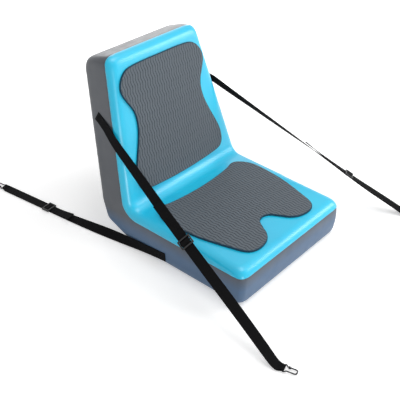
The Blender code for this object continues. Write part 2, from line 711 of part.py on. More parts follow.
def valve():
    place = valve_matrix()
    bore = VALVE_SLEEVE_RADIUS - VALVE_WALL
    on_wall = CLEARANCE
    flange_top = on_wall + VALVE_FLANGE_THICK
    plate_top = -VALVE_FLOOR_AT
    plate_low = plate_top - VALVE_WALL
    guide = STEM_RADIUS + CLEARANCE
    body = turned("valve_body", [
        (bore, flange_top), (VALVE_FLANGE_RADIUS - 0.001, flange_top), (VALVE_FLANGE_RADIUS, on_wall + 0.001),
        (VALVE_FLANGE_RADIUS, on_wall), (VALVE_SLEEVE_RADIUS, on_wall), (VALVE_SLEEVE_RADIUS, -VALVE_DEPTH),
        (bore, -VALVE_DEPTH), (bore, plate_low), (guide, plate_low), (guide, plate_top), (bore, plate_top),
    ], BLACK_PLASTIC, place)
    outer_button = BUTTON_RADIUS + WINDOW_RADIUS + 0.0004
    for k in range(WINDOW_COUNT):
        angle = 2 * math.pi * k / WINDOW_COUNT
        centre = (outer_button * math.cos(angle), outer_button * math.sin(angle))
        bm = cylinder_bmesh(WINDOW_RADIUS, plate_low - 0.002, plate_top + 0.002, 10, centre)
        boolean(body, add_object(f"window_{k}", mesh_from(bm, "window"), BLACK_PLASTIC, place), "DIFFERENCE")

    coil_height = BUTTON_HEIGHT - BUTTON_WALL - CLEARANCE
    button_low = plate_top + CLEARANCE + POPPET_TRAVEL
    button_top = button_low + BUTTON_HEIGHT
    inside = BUTTON_RADIUS - BUTTON_WALL
    disc_top = plate_low - CLEARANCE
    turned("valve_poppet", [
        (0, button_top), (BUTTON_RADIUS, button_top), (BUTTON_RADIUS, button_low), (inside, button_low),
        (inside, button_top - BUTTON_WALL), (STEM_RADIUS, button_top - BUTTON_WALL), (STEM_RADIUS, disc_top),
        (POPPET_RADIUS, disc_top), (POPPET_RADIUS, disc_top - POPPET_THICK), (0, disc_top - POPPET_THICK),
    ], BLACK_PLASTIC, place)

    coil_start = plate_top + CLEARANCE + SPRING_WIRE / 2
    steps = 12 * SPRING_TURNS
    rise = coil_height - SPRING_WIRE
    coil = bpy.data.curves.new("valve_spring", "CURVE")
    coil.dimensions = "3D"
    coil.bevel_depth = SPRING_WIRE / 2
    coil.bevel_resolution = 2
    coil.use_fill_caps = True
    spline = coil.splines.new("POLY")
    spline.points.add(steps)
    for k, knot in enumerate(spline.points):
        angle = 2 * math.pi * k / 12
        height = coil_start + rise * k / steps
        knot.co = (SPRING_RADIUS * math.cos(angle), SPRING_RADIUS * math.sin(angle), height, 1)
    add_object("valve_spring", coil, BRIGHT_METAL, place)

    seal_low = flange_top + CLEARANCE
    seal_top = seal_low + SEAL_THICK
    seal_in = bore + 0.0008
    turned("valve_seal", [
        (seal_in, seal_top), (seal_in + SEAL_WIDTH, seal_top), (seal_in + SEAL_WIDTH, seal_low),
        (seal_in, seal_low),
    ], BLACK_RUBBER, place)

    cap_low = seal_top + CLEARANCE
    cap_top = cap_low + CAP_THICK
    plug = bore - CLEARANCE
    hollow = plug - VALVE_WALL
    cap = turned("valve_cap", [
        (0, cap_top), (CAP_RADIUS - 0.001, cap_top), (CAP_RADIUS, cap_top - 0.001), (CAP_RADIUS, cap_low),
        (plug, cap_low), (plug, flange_top - CAP_PLUG_DEPTH), (hollow, flange_top - CAP_PLUG_DEPTH),
        (hollow, cap_low), (0, cap_low),
    ], BLACK_PLASTIC, place)
    grip = add_box("cap_grip", (-CAP_RADIUS * 0.8, -GRIP_WIDTH / 2, cap_top - 0.001),
                   (CAP_RADIUS * 0.8, GRIP_WIDTH / 2, cap_top + GRIP_HEIGHT), BLACK_PLASTIC, place)
    rounding = grip.modifiers.new("edges", "BEVEL")
    rounding.width = 0.0015
    rounding.segments = 2
    boolean(cap, grip, "UNION")


clear_scene()
PARTS = make_collection("paddleboard_seat")
CUTTERS = make_collection("cutters")
GREY_PVC = make_material("grey_pvc", (0.16, 0.16, 0.17), 0.5)
BLUE_PVC = make_material("blue_pvc", (0.0, 0.50, 0.80), 0.45)
GREY_FOAM = make_material("grey_foam", (0.13, 0.15, 0.17), 0.8)
BLACK_WEBBING = make_material("black_webbing", (0.012, 0.012, 0.014), 0.85)
BLACK_PLASTIC = make_material("black_plastic", (0.02, 0.02, 0.022), 0.4)
BLACK_METAL = make_material("black_metal", (0.03, 0.03, 0.032), 0.35, 0.8)
BRIGHT_METAL = make_material("bright_metal", (0.6, 0.6, 0.62), 0.3, 1.0)
BLACK_RUBBER = make_material("black_rubber", (0.02, 0.02, 0.02), 0.7)

air_chamber()
deck_skin()
pads()
straps()
valve()
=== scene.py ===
"""Looks of the inflatable paddleboard seat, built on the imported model.

Metres, in the part's own frame: +Z up, -Y the front, +X the right-hand side of someone who looks at the seat.
"""

import math

import bmesh
import bpy
from mathutils import Matrix, Vector
from mathutils.geometry import delaunay_2d_cdt

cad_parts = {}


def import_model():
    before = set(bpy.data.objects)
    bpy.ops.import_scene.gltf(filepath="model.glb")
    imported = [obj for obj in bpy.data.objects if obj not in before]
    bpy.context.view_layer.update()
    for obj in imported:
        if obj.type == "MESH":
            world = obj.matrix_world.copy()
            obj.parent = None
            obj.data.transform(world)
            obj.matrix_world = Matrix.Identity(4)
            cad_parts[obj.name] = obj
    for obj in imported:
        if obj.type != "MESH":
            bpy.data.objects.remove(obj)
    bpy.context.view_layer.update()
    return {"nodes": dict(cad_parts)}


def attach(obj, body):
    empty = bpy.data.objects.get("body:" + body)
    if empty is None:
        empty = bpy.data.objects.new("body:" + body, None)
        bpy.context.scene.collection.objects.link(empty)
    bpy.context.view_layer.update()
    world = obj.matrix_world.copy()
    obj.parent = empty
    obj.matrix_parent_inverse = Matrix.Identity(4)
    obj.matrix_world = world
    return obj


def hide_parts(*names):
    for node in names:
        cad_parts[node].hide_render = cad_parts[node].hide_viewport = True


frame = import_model()
nodes = frame["nodes"]

FULL_TURN = 2 * math.pi

# Chamber, as in the part
CHAMBER_THICK = 0.099
SEAT_LENGTH = 0.353
RECLINE = math.radians(16.4)
CLEARANCE = 0.0003
SKIN_THICK = 0.0012
SKIN_EDGE = 0.0175
UP_THE_BACK = Vector((0, math.sin(RECLINE), math.cos(RECLINE)))
REARWARD = Vector((0, math.cos(RECLINE), -math.sin(RECLINE)))
CREASE = Vector((0, SEAT_LENGTH / 2, CHAMBER_THICK))
CREASE_SETBACK = 0.024
CREASE_RADIUS = CREASE_SETBACK / math.tan((math.pi / 2 - RECLINE) / 2)
CREASE_CENTRE = CREASE + Vector((0, -CREASE_SETBACK, CREASE_RADIUS))
REMESH_STEP = 0.0045
SMOOTHING_ROUNDS = 8
WALL_BULGE = 0.0025
CORNER_BULGE = 0.0045
FLAT_RIM_HEIGHT = 0.004
SKIN_CUTS = 8
CUT_MERGE = 0.0002

# Pads: a wavy groove pattern cut into foam
PAD_THICK = 0.005
GROOVE_PITCH = 0.0085
GROOVE_WIDTH = 0.0024
GROOVE_DEPTH = 0.0012
WAVE_LENGTH = 0.026
WAVE_HEIGHT = 0.0014
ROW_STEP = 0.0026
OUTLINE_STEP = 0.0016
PAD_ROUNDING = 0.0016
ROW_MARGIN = 0.0012
RIM_MARGIN = 0.0009
POINT_MERGE = 0.00002
# Share of a groove's depth from which a face takes the painted groove shade
GROOVE_SHADE_FROM = 0.3

# Points of the pad's rounded rim, as shares of its rounding moved in and down
RIM_ARC = [(0.62, 0.08), (0.29, 0.29), (0.08, 0.62), (0, 1)]

# Half outlines of the pads, from the seat's rear middle and the back's top middle round the right side
SEAT_PAD_HALF = [
    (0.000, 0.118), (0.053, 0.120), (0.107, 0.126), (0.135, 0.133), (0.154, 0.127), (0.170, 0.106),
    (0.177, 0.078), (0.175, 0.030), (0.168, -0.020), (0.157, -0.062), (0.147, -0.095), (0.135, -0.129),
    (0.118, -0.145), (0.093, -0.149), (0.064, -0.142), (0.045, -0.126), (0.033, -0.106), (0.019, -0.086),
    (0.000, -0.079),
]
BACK_PAD_HALF = [
    (0.000, 0.343), (0.055, 0.343), (0.098, 0.341), (0.120, 0.335), (0.137, 0.320), (0.146, 0.300),
    (0.144, 0.281), (0.133, 0.259), (0.122, 0.238), (0.118, 0.215), (0.121, 0.188), (0.130, 0.160),
    (0.143, 0.128), (0.154, 0.100), (0.159, 0.075), (0.156, 0.052), (0.143, 0.038), (0.115, 0.033),
    (0.060, 0.0295), (0.000, 0.028),
]

# Webbing, as in the part
WEB_WIDTH = 0.0250
WEB_THICK = 0.0014
WEB_END_WIDTH = 0.0166
WEB_NARROWS_OVER = 0.014
TAIL_LIFT = 0.004
SLIDER_HUMP = 0.0044
HUMP_FLAT = 0.0018
HUMP_REACH = 0.0082
SLIDER_HOLDS = 0.013
ROUTE_STEP = 0.004
STATION_STEP = 0.004
FINE_STATION_STEP = 0.0008
FINE_MARGIN = 0.004
RUN_END_GAP = 0.001
TAIL_LIFT_FROM = 0.012
EYE_RISE_FROM = 0.002
EYE_RISE_OVER = 0.012
FOLD_STEPS = 10
LAYER = WEB_THICK + CLEARANCE
STITCH_MIDDLE = 0.0125
STITCH_HALF = 0.0090
STITCH_HALF_LINE = 0.0004
STITCH_LENGTH = 0.0026
RIB_PITCH = 0.0016
YARN_PITCH = 0.0022
FOLD_RADIUS = 0.0025

# Routes of the straps: x, y and z as in the part, and how far the face has turned to the ground's
FRONT_LEFT_ROUTE = [
    (-0.1767, 0.3113, 0.3096, 0.00), (-0.1775, 0.3041, 0.3060, 0.00), (-0.1782, 0.2970, 0.3025, 0.00),
    (-0.1805, 0.2844, 0.2962, 0.00), (-0.1830, 0.2718, 0.2900, 0.02), (-0.1862, 0.2600, 0.2842, 0.06),
    (-0.1948, 0.2235, 0.2661, 0.14), (-0.2059, 0.1580, 0.2356, 0.24), (-0.2177, 0.0915, 0.2048, 0.33),
    (-0.2290, 0.0250, 0.1740, 0.42), (-0.2398, -0.0415, 0.1436, 0.50), (-0.2501, -0.1080, 0.1131, 0.60),
    (-0.2599, -0.1745, 0.0826, 0.71), (-0.2700, -0.2395, 0.0527, 0.83), (-0.2784, -0.2900, 0.0293, 0.92),
    (-0.2827, -0.3160, 0.0166, 0.98), (-0.2844, -0.3310, 0.0082, 1.00), (-0.2844, -0.3420, 0.0031, 1.00),
    (-0.2828, -0.3500, 0.0010, 1.00), (-0.2807, -0.3572, 0.0010, 1.00),
]
FRONT_RIGHT_ROUTE = [
    (0.1767, 0.3113, 0.3096, 0.00), (0.1772, 0.3035, 0.3078, 0.00), (0.1777, 0.2957, 0.3061, 0.00),
    (0.1792, 0.2900, 0.3047, 0.00), (0.1825, 0.2822, 0.3029, 0.00), (0.1888, 0.2755, 0.3012, 0.00),
    (0.1985, 0.2610, 0.2957, 0.06), (0.2120, 0.2235, 0.2749, 0.14), (0.2303, 0.1720, 0.2466, 0.24),
    (0.2540, 0.1054, 0.2100, 0.35), (0.2795, 0.0340, 0.1706, 0.47), (0.2980, -0.0181, 0.1419, 0.59),
    (0.3170, -0.0714, 0.1127, 0.72), (0.3381, -0.1306, 0.0800, 0.86), (0.3560, -0.1780, 0.0545, 0.96),
    (0.3720, -0.2185, 0.0332, 1.00), (0.3830, -0.2480, 0.0180, 1.00), (0.3892, -0.2680, 0.0084, 1.00),
    (0.3922, -0.2820, 0.0031, 1.00), (0.3930, -0.2930, 0.0010, 1.00), (0.3925, -0.3050, 0.0010, 1.00),
]
REAR_LEFT_ROUTE = [
    (-0.2066, 0.0560, 0.0228, 0.00), (-0.2068, 0.0640, 0.0221, 0.00), (-0.2069, 0.0719, 0.0214, 0.00),
    (-0.2095, 0.1150, 0.0178, 0.03), (-0.2132, 0.1550, 0.0156, 0.14), (-0.2182, 0.2000, 0.0130, 0.32),
    (-0.2244, 0.2500, 0.0099, 0.52), (-0.2308, 0.3000, 0.0066, 0.72), (-0.2372, 0.3500, 0.0036, 0.88),
    (-0.2437, 0.4000, 0.0013, 0.99), (-0.2501, 0.4500, 0.0010, 1.00), (-0.2565, 0.5000, 0.0010, 1.00),
    (-0.2631, 0.5500, 0.0010, 1.00), (-0.2698, 0.6000, 0.0010, 1.00), (-0.2726, 0.6200, 0.0010, 1.00),
]
REAR_RIGHT_ROUTE = [(-x, y, z, turn) for x, y, z, turn in REAR_LEFT_ROUTE]
BACK_WALL_NORMAL = Vector((0.9878, 0.0256, 0.1534))
SEAT_WALL_NORMAL = Vector((0.9998, -0.0198, 0.0))

# Each strap: route, normal of the wall it is welded to, distance to the slider, and its tail's length
STRAPS = {
    "front_left": (FRONT_LEFT_ROUTE, BACK_WALL_NORMAL, 0.395, 0.118),
    "front_right": (FRONT_RIGHT_ROUTE, BACK_WALL_NORMAL, 0.515, 0.150),
    "rear_left": (REAR_LEFT_ROUTE, SEAT_WALL_NORMAL, 0.398, 0.085),
    "rear_right": (REAR_RIGHT_ROUTE, SEAT_WALL_NORMAL, 0.398, 0.085),
}

# Camera, as solved from the photo's edges
CAMERA_PLACE = Vector((-1.1842, -0.8848, 1.1578))
CAMERA_TARGET = Vector((0, 0.1468, 0.03596))
CAMERA_ROLL = math.radians(1.154)
CAMERA_LENS = 64.67
CAMERA_SHIFT = (0.0159, 0.00725)

# Studio
WORLD_LIGHT = 0.46
FLOOR_HALF = 12
FLOOR_DROP = 0.0005
FLOOR_LIFT = 0.38
FLOOR_LIFT_FROM = 0.8
FLOOR_WHITE_FROM = 1.8

# Each lamp: place, where it points, width and watts
LAMPS = {
    "key": ((0.3, -0.2, 2.3), (0, 0.15, 0.1), 1.4, 17),
    "right": ((1.7, -1.2, 1.2), (0, 0, 0.1), 1.2, 22),
    "behind": ((1.4, 1.8, 1.0), (0, 0.3, 0.35), 1.4, 9),
    "front": ((-1.1, -1.85, 0.3), (-0.1, 0.2, 0.3), 0.36, 12),
}


# Materials


def srgb(r, g, b):
    """A colour as read from the photo, 0 to 255, as Blender's linear values."""
    parts = [c / 255 for c in (r, g, b)]
    return tuple(c / 12.92 if c <= 0.04045 else ((c + 0.055) / 1.055) ** 2.4 for c in parts) + (1,)


class Shader:
    """A Principled material and short ways to wire nodes into it."""

    def __init__(self, name):
        self.material = bpy.data.materials.new(name)
        self.material.use_nodes = True
        self.tree = self.material.node_tree
        self.bsdf = self.tree.nodes["Principled BSDF"]

    def node(self, kind, values=None, **settings):
        made = self.tree.nodes.new(kind)
        for name, value in settings.items():
            setattr(made, name, value)
        for socket, value in (values or {}).items():
            self.feed(made.inputs[socket], value)
        return made

    def feed(self, socket, value):
        if isinstance(value, bpy.types.NodeSocket):
            self.tree.links.new(value, socket)
        else:
            socket.default_value = value

    def set(self, **values):
        for name, value in values.items():
            self.feed(self.bsdf.inputs[name.replace("_", " ")], value)

    def place(self):
        """Where a shaded point lies on the object, in metres."""
        return self.node("ShaderNodeTexCoord").outputs["Object"]

    def noise(self, scale, detail=3, vector=None):
        made = self.node("ShaderNodeTexNoise", {"Scale": scale, "Detail": detail, "Roughness": 0.55})
        self.feed(made.inputs["Vector"], vector or self.place())
        return made.outputs["Fac"]

    def spread(self, value, from_low, from_high, to_low, to_high):
        made = self.node("ShaderNodeMapRange", {
            "Value": value, "From Min": from_low, "From Max": from_high, "To Min": to_low, "To Max": to_high,
        })
        return made.outputs["Result"]

    def mix(self, share, a, b):
        made = self.node("ShaderNodeMix", data_type="RGBA")
        self.feed(made.inputs["Factor"], share)
        self.feed(made.inputs["A"], a)
        self.feed(made.inputs["B"], b)
        return made.outputs["Result"]

    def maths(self, operation, a, b=0.0):
        made = self.node("ShaderNodeMath", operation=operation)
        self.feed(made.inputs[0], a)
        self.feed(made.inputs[1], b)
        return made.outputs["Value"]

    def sine(self, value, pitch):
        """A wave over the value, from -1 to 1, that repeats at the pitch."""
        return self.maths("SINE", self.maths("MULTIPLY", value, FULL_TURN / pitch))

    def axis(self, vector, name):
        return self.node("ShaderNodeSeparateXYZ", {"Vector": vector}).outputs[name]

    def bump(self, height, distance, strength=1.0, onto=None):
        made = self.node("ShaderNodeBump", {"Height": height, "Distance": distance, "Strength": strength})
        if onto is not None:
            self.feed(made.inputs["Normal"], onto)
        return made.outputs["Normal"]


def pvc_normal(shader):
    """Coated fabric: a fine woven pebble under the coat and long soft ripples."""
    place = shader.place()
    weave = shader.noise(1400, 1, place)
    ripple = shader.noise(9, 2, place)
    normal = shader.bump(weave, 0.00006, 0.5)
    return shader.bump(ripple, 0.0016, 0.5, normal)


def blue_pvc():
    shader = Shader("blue_coated_fabric")
    clouds = shader.noise(6, 3)
    colour = shader.mix(shader.spread(clouds, 0.3, 0.7, 0, 1), srgb(0, 186, 226), srgb(14, 198, 234))
    rough = shader.spread(shader.noise(40, 3), 0.3, 0.7, 0.34, 0.44)
    shader.set(Base_Color=colour, Roughness=rough, Normal=pvc_normal(shader), Coat_Weight=0.6)
    shader.bsdf.inputs["Coat Roughness"].default_value = 0.3
    return shader.material


def grey_pvc():
    """Grey coated fabric with a painted bluish reflection: it turns slate blue towards the ground."""
    shader = Shader("grey_coated_fabric")
    height = shader.axis(shader.place(), "Z")
    clouds = shader.noise(7, 3)
    grey = shader.mix(shader.spread(clouds, 0.3, 0.7, 0, 1), srgb(68, 71, 76), srgb(78, 81, 86))
    # Painted bluish reflection: the walls take a slate blue tint from about 8 cm down, almost fully below 4.5
    # cm
    low = shader.spread(height, 0.045, 0.082, 0.95, 0.04)
    colour = shader.mix(low, grey, srgb(66, 98, 132))
    rough = shader.spread(shader.noise(40, 3), 0.3, 0.7, 0.38, 0.5)
    shader.set(Base_Color=colour, Roughness=rough, Normal=pvc_normal(shader), Coat_Weight=0.15)
    shader.bsdf.inputs["Coat Roughness"].default_value = 0.3
    return shader.material


def grey_foam():
    """Closed-cell foam: a flecked matt grey, with painted shade darkening the grooves, and darker on the cut
    edge.
    """
    shader = Shader("grey_foam")
    flecks = shader.noise(900, 2)
    colour = shader.mix(shader.spread(flecks, 0.35, 0.65, 0, 1), srgb(82, 91, 99), srgb(97, 105, 113))
    pores = shader.noise(2600, 1)
    shader.set(Base_Color=colour, Roughness=0.82, Normal=shader.bump(pores, 0.00012, 0.6))
    shader.bsdf.inputs["Sheen Weight"].default_value = 0.15
    return shader.material


def foam_edge():
    shader = Shader("foam_cut_edge")
    colour = shader.mix(shader.noise(900, 2), srgb(6, 46, 64), srgb(14, 60, 80))
    shader.set(Base_Color=colour, Roughness=0.85)
    return shader.material


def foam_groove_painted_shade():
    # Painted shade: the foam in the grooves is a darker grey than the top's
    shader = Shader("foam_groove_painted_shade")
    colour = shader.mix(shader.noise(900, 2), srgb(66, 72, 78), srgb(78, 84, 91))
    shader.set(Base_Color=colour, Roughness=0.9)
    return shader.material


def box_stitch(shader, across, along):
    """1 on the thread of the stitched box and its one diagonal at the strap's welded end, 0 elsewhere."""
    up = shader.maths("SUBTRACT", along, STITCH_MIDDLE)
    square = shader.maths("MAXIMUM", shader.maths("ABSOLUTE", across), shader.maths("ABSOLUTE", up))
    box_line = shader.maths("ABSOLUTE", shader.maths("SUBTRACT", square, STITCH_HALF))
    slant = shader.maths("ABSOLUTE", shader.maths("SUBTRACT", across, up))
    slant_line = shader.maths("ADD", slant, shader.maths("GREATER_THAN", square, STITCH_HALF))
    on_line = shader.maths("LESS_THAN", shader.maths("MINIMUM", box_line, slant_line), STITCH_HALF_LINE)
    dashes = shader.sine(shader.maths("ADD", across, along), STITCH_LENGTH)
    return shader.maths("MULTIPLY", on_line, shader.maths("GREATER_THAN", dashes, -0.5))


def webbing_weave():
    """Woven black polypropylene: a checked weave, a light fuzz and a stitched end."""
    shader = Shader("webbing_weave")
    along_across = shader.node("ShaderNodeUVMap", uv_map="strap").outputs["UV"]
    across = shader.axis(along_across, "X")
    along = shader.axis(along_across, "Y")
    weave = shader.maths("MULTIPLY", shader.sine(along, RIB_PITCH), shader.sine(across, YARN_PITCH))
    fuzz = shader.noise(3500, 2)
    thread = box_stitch(shader, across, along)
    colour = shader.mix(shader.spread(weave, -1, 1, 0, 1), srgb(1, 1, 2), srgb(9, 9, 11))
    colour = shader.mix(shader.spread(fuzz, 0.4, 0.8, 0, 0.4), colour, srgb(15, 15, 17))
    colour = shader.mix(thread, colour, srgb(46, 46, 50))
    normal = shader.bump(weave, 0.00025, 0.8)
    normal = shader.bump(thread, 0.0004, 1.0, normal)
    shader.set(Base_Color=colour, Roughness=0.85, Normal=normal)
    shader.bsdf.inputs["Specular IOR Level"].default_value = 0.12
    return shader.material


def moulded_black():
    shader = Shader("moulded_black")
    grain = shader.noise(1800, 2)
    colour = shader.mix(shader.noise(60, 3), srgb(9, 9, 10), srgb(18, 18, 20))
    rough = shader.spread(shader.noise(120, 3), 0.3, 0.7, 0.34, 0.48)
    shader.set(Base_Color=colour, Roughness=rough, Normal=shader.bump(grain, 0.00004, 0.5))
    return shader.material


def black_wire():
    shader = Shader("black_wire")
    wear = shader.spread(shader.noise(700, 4), 0.55, 0.75, 0, 0.5)
    colour = shader.mix(wear, srgb(34, 34, 37), srgb(96, 96, 100))
    grain = shader.bump(shader.noise(900, 2), 0.00003)
    shader.set(Base_Color=colour, Roughness=0.34, Metallic=0.85, Normal=grain)
    return shader.material


def bright_steel():
    shader = Shader("bright_steel")
    rough = shader.spread(shader.noise(1500, 3), 0.3, 0.7, 0.2, 0.4)
    shader.set(Base_Color=srgb(170, 170, 174), Roughness=rough, Metallic=1.0)
    return shader.material


def black_rubber():
    shader = Shader("black_rubber")
    shader.set(Base_Color=srgb(20, 20, 21), Roughness=0.7, Normal=shader.bump(shader.noise(2000, 2), 0.00005))
    return shader.material


def seen_directly(tree):
    """1 for rays from the camera and for reflected or refracted ones, 0 for those that light the object."""
    path = tree.nodes.new("ShaderNodeLightPath")
    seen = path.outputs["Is Camera Ray"]
    for name in ("Is Glossy Ray", "Is Transmission Ray"):
        larger = tree.nodes.new("ShaderNodeMath")
        larger.operation = "MAXIMUM"
        tree.links.new(seen, larger.inputs[0])
        tree.links.new(path.outputs[name], larger.inputs[1])
        seen = larger.outputs["Value"]
    return seen


def floor_white():
    """Pale, and lifted towards white where it is looked at, so that only the object's shadow shows."""
    shader = Shader("floor_white")
    distance = shader.node("ShaderNodeVectorMath", {"Vector": shader.place()}, operation="LENGTH")
    farther = shader.spread(distance.outputs["Value"], FLOOR_LIFT_FROM, FLOOR_WHITE_FROM, FLOOR_LIFT, 1)
    lift = shader.maths("MULTIPLY", seen_directly(shader.tree), farther)
    shader.set(Base_Color=(0.88, 0.88, 0.88, 1), Roughness=0.9)
    shader.set(Emission_Color=(1, 1, 1, 1), Emission_Strength=lift)
    shader.bsdf.inputs["Specular IOR Level"].default_value = 0.0
    return shader.material


# Helpers


def add_piece(name, mesh, materials, body="seat", replaced=(), smooth_deg=40):
    """Put a finished mesh on its body, in place of the CAD nodes that it dresses."""
    made = bpy.data.objects.new(name, mesh)
    bpy.context.scene.collection.objects.link(made)
    for material in materials:
        mesh.materials.append(material)
    mesh.shade_smooth()
    mesh.set_sharp_from_angle(angle=math.radians(smooth_deg))
    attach(made, body)
    if replaced:
        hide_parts(*replaced)
    return made


def bmesh_to(bm, name):
    mesh = bpy.data.meshes.new(name)
    bm.to_mesh(mesh)
    bm.free()
    return mesh


def dress(node, material):
    """Give a CAD node its finished material."""
    mesh = nodes[node].data
    mesh.materials.clear()
    mesh.materials.append(material)


def depth_below_face(point):
    """How far a point lies behind the seat's top or the back's face."""
    return max(CHAMBER_THICK - point.z, (point - CREASE).dot(REARWARD))


# Chamber and skin


def evaluated_mesh(obj):
    graph = bpy.context.evaluated_depsgraph_get()
    return bpy.data.meshes.new_from_object(obj.evaluated_get(graph))


def inflated_chamber():
    """The CAD chamber, remeshed, with its facets smoothed away and its walls swollen by the air in them."""
    rough = bpy.data.objects.new("chamber_work", nodes["air_chamber"].data.copy())
    bpy.context.scene.collection.objects.link(rough)
    remesh = rough.modifiers.new("remesh", "REMESH")
    remesh.mode = "VOXEL"
    remesh.voxel_size = REMESH_STEP
    smooth = rough.modifiers.new("smooth", "SMOOTH")
    smooth.factor = 0.5
    smooth.iterations = SMOOTHING_ROUNDS
    mesh = evaluated_mesh(rough)
    bpy.data.objects.remove(rough)
    bm = bmesh.new()
    bm.from_mesh(mesh)
    bm.normal_update()
    for v in bm.verts:
        v.co += v.normal * wall_bulge(v.co, v.normal)
    bm.normal_update()
    return bm


def wall_bulge(point, normal):
    """Drop-stitch holds the two big faces flat, so the end walls between them swell, most at the corners."""
    middle = math.sin(math.pi * min(1, max(0, depth_below_face(point) / CHAMBER_THICK)))
    end_wall = max(0.0, -normal.y if point.y < 0 else normal.dot(UP_THE_BACK))
    corner = abs(normal.x) * end_wall * 2
    swell = WALL_BULGE * end_wall ** 3 + CORNER_BULGE * corner ** 2
    return swell * max(0.0, middle) if point.z > FLAT_RIM_HEIGHT else 0.0


def skin_cuts():
    """Directions that the skin's edge faces: down from the seat, round the crease, and back from the back."""
    down = Vector((0, 0, -1))
    return [down.slerp(REARWARD, k / (SKIN_CUTS - 1)) for k in range(SKIN_CUTS)]


def chamber_and_skin():
    bm = inflated_chamber()
    skin = bm.copy()
    body = add_piece("chamber", bmesh_to(bm, "chamber"), [grey_pvc()], replaced=["air_chamber"],
                     smooth_deg=60)
    deck_skin(skin)


def deck_skin(skin):
    """The chamber's front face and what the skin wraps of its edges, with the skin's own thickness."""
    for outward in skin_cuts():
        everything = skin.verts[:] + skin.edges[:] + skin.faces[:]
        place = CREASE_CENTRE + outward * (CREASE_RADIUS + SKIN_EDGE)
        bmesh.ops.bisect_plane(skin, geom=everything, plane_co=place, plane_no=outward, dist=CUT_MERGE,
                               clear_outer=True)
    skin.normal_update()
    for v in skin.verts:
        v.co += v.normal * CLEARANCE
    sheet = add_piece("skin", bmesh_to(skin, "skin"), [blue_pvc()], replaced=["deck_skin"],
                      smooth_deg=60)
    solidify = sheet.modifiers.new("sheet", "SOLIDIFY")
    solidify.thickness = SKIN_THICK
    solidify.offset = 1


# Pads


def smooth_outline(half):
    """The pad's outline as a closed line of evenly spaced points."""
    points = [Vector(p) for p in half + [(-x, y) for x, y in reversed(half[1:-1])]]
    count = len(points)
    line = []
    for i in range(count):
        a, b, c, d = (points[(i + k) % count] for k in (-1, 0, 1, 2))
        steps = max(2, round((c - b).length / OUTLINE_STEP))
        line += [catmull_rom(a, b, c, d, k / steps) for k in range(steps)]
    return line


def catmull_rom(a, b, c, d, t):
    """The point at t, 0 to 1, of the smooth line from b to c, with a before them and d after."""
    square = (2 * a - 5 * b + 4 * c - d) * t * t
    cube = (3 * b - a - 3 * c + d) * t ** 3
    return 0.5 * (2 * b + (c - a) * t + square + cube)


def wave(y):
    return WAVE_HEIGHT * math.sin(FULL_TURN * y / WAVE_LENGTH)


def groove_depth(x, y):
    """Depth of the foam's grooves there: round-bottomed wavy lines, front to back or up the back."""
    across = (x - wave(y)) / GROOVE_PITCH
    off = abs(across - round(across)) * GROOVE_PITCH
    if off > GROOVE_WIDTH / 2:
        return 0.0
    return GROOVE_DEPTH * math.cos(math.pi * off / GROOVE_WIDTH)


def inside(point, outline, margin):
    """Whether a point lies inside the outline by at least a margin."""
    crossing = False
    x, y = point
    for a, b in zip(outline, outline[1:] + outline[:1]):
        if (a.y > y) != (b.y > y) and x < a.x + (y - a.y) * (b.x - a.x) / (b.y - a.y):
            crossing = not crossing
    if not crossing:
        return False
    return min((a.x - x) ** 2 + (a.y - y) ** 2 for a in outline) > margin ** 2


def row_spans(outline, y, margin):
    """The stretches of a row that lie inside the outline."""
    hits = []
    for a, b in zip(outline, outline[1:] + outline[:1]):
        if (a.y > y) != (b.y > y):
            hits.append(a.x + (y - a.y) * (b.x - a.x) / (b.y - a.y))
    hits.sort()
    return [(hits[i] + margin, hits[i + 1] - margin) for i in range(0, len(hits) - 1, 2)]


def pad_points(outline):
    """Points that follow the grooves: six for each groove in every row."""
    low, high = min(p.y for p in outline), max(p.y for p in outline)
    half = GROOVE_WIDTH / 2
    offsets = (-half, -half / 2, 0, half / 2, half, GROOVE_PITCH / 2)
    rows = int((high - low) / ROW_STEP)
    points = []
    for r in range(1, rows):
        y = low + (high - low) * r / rows
        for start, end in row_spans(outline, y, ROW_MARGIN):
            first = math.floor((start - wave(y)) / GROOVE_PITCH) - 1
            last = math.ceil((end - wave(y)) / GROOVE_PITCH) + 1
            for k in range(first, last):
                for offset in offsets:
                    x = k * GROOVE_PITCH + wave(y) + offset
                    if start < x < end and inside((x, y), outline, RIM_MARGIN):
                        points.append(Vector((x, y)))
    return points


def moved_in(outline, distance):
    """The closed outline, which runs clockwise, moved inwards."""
    moved = []
    for i, p in enumerate(outline):
        run = (outline[(i + 1) % len(outline)] - outline[i - 1]).normalized()
        moved.append(p + Vector((run.y, -run.x)) * distance)
    return moved


def pad_top(bm, rim, top):
    """The grooved top inside its rim; returns the rim's own corners in order."""
    points = rim + pad_points(rim)
    edges = [(i, (i + 1) % len(rim)) for i in range(len(rim))]
    places, _, faces, sources = delaunay_2d_cdt(points, edges, [], 1, POINT_MERGE)[:4]
    corners = [bm.verts.new((p.x, p.y, top - groove_depth(p.x, p.y))) for p in places]
    for face in faces:
        made = bm.faces.new([corners[i] for i in face])
        centre = sum((places[i] for i in face), Vector((0, 0))) / len(face)
        # Faces deep in a groove take the darker painted groove shade
        in_groove = groove_depth(centre.x, centre.y) > GROOVE_DEPTH * GROOVE_SHADE_FROM
        made.material_index = 1 if in_groove else 0
    of_source = {source: corners[i] for i, listed in enumerate(sources) for source in listed}
    return [of_source[i] for i in range(len(rim))]


